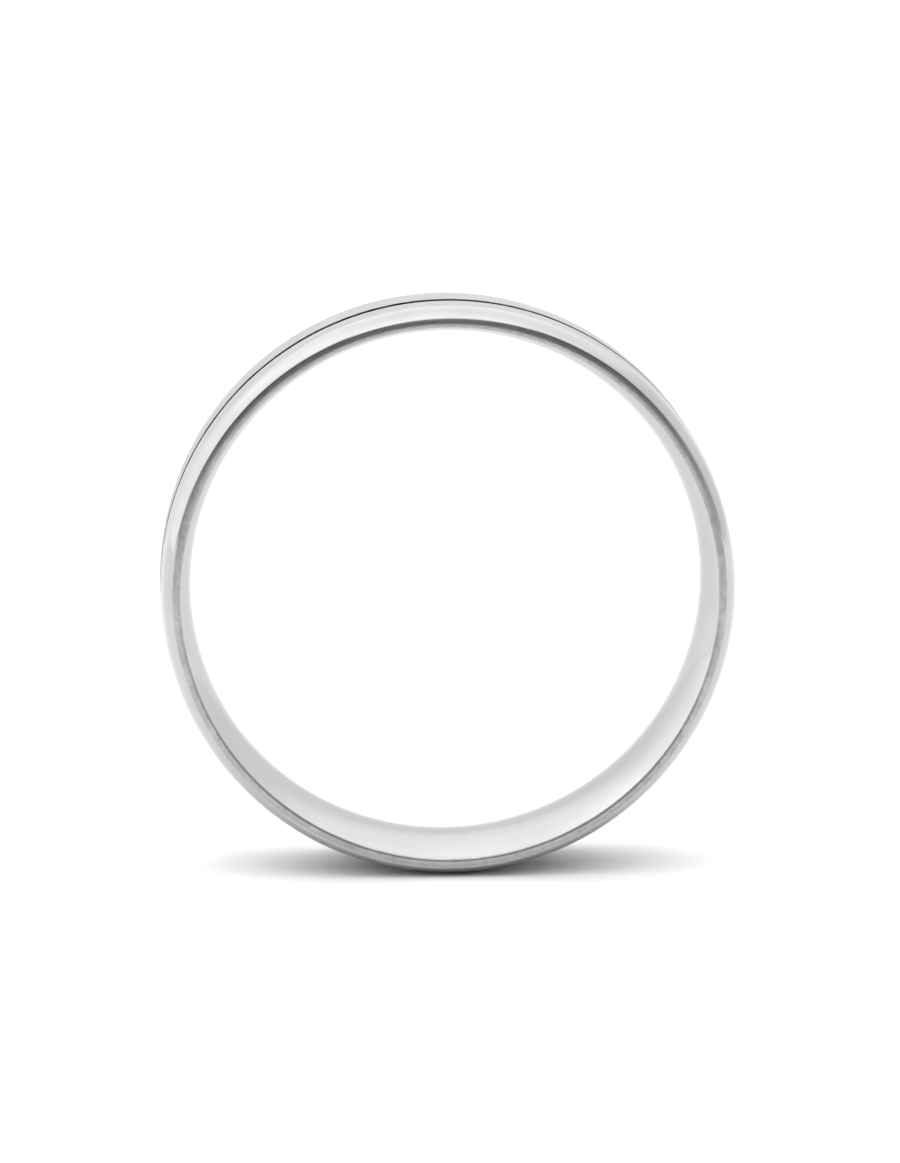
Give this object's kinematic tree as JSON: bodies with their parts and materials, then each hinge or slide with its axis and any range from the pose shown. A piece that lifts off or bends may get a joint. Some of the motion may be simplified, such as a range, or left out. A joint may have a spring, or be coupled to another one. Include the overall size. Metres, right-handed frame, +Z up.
{
  "type": "wedding band",
  "caption": "White metal wedding band: a comfort-fit sleeve and two outer rings, satin beside the off-centre groove that parts them and polished on their shoulders.",
  "frame": {"origin": "centre of the finger bore, halfway along the band's width", "axes": "+Y along the finger axis towards the rear side face, +Z up with the band standing on its edge, +X to the right seen from the front"},
  "size_m": [0.0222, 0.006, 0.0222],
  "materials": {
    "polished_sleeve": "mirror-polished white metal",
    "front_ring": "white metal, satin beside the groove and polished on the shoulder, with a fine-lapped side face",
    "rear_ring": "white metal, satin beside the groove and polished on the shoulder, with a fine-lapped side face"
  },
  "bodies": {
    "root": {"comfort_fit_sleeve": "polished_sleeve", "front_outer_ring": "front_ring", "rear_outer_ring": "rear_ring"}
  },
  "joints": []
}
